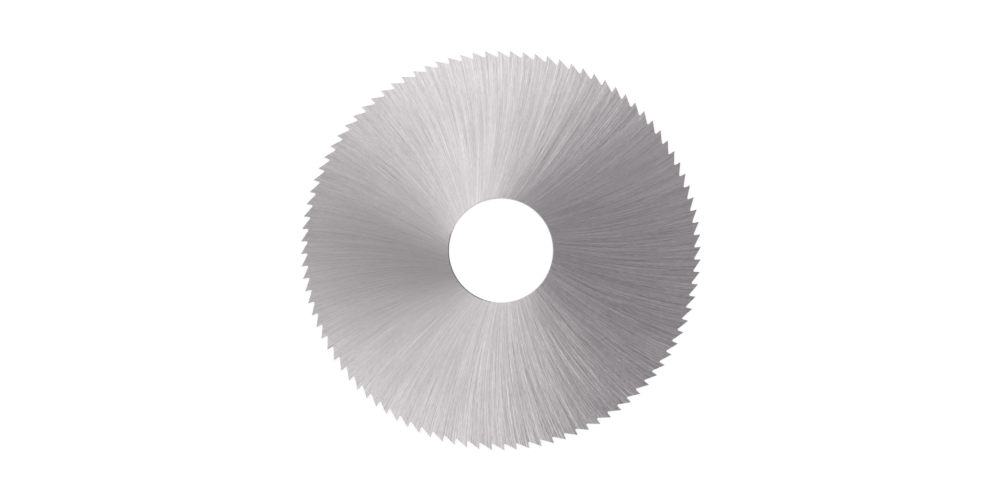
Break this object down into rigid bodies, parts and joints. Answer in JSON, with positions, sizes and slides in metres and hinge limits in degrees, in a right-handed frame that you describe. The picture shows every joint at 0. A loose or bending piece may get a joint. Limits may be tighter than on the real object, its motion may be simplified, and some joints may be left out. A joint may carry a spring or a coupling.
{
  "type": "slitting saw",
  "caption": "Thin round metal-cutting saw blade with fine teeth right round its rim, hollow-ground sides and a plain central bore that is clamped on an arbor.",
  "frame": {"origin": "on the bore axis, in the plane of the side that the blade lies on", "axes": "+Z along the bore axis and up, +X through one tooth tip; seen from +Z the teeth cut counter-clockwise"},
  "size_m": [0.05, 0.05, 0.0005],
  "materials": {
    "ground_steel": "bright high-speed steel, ground on both sides in fine arcs that run from the bore to the teeth"
  },
  "bodies": {
    "root": {"saw_blade": "ground_steel"}
  },
  "joints": []
}
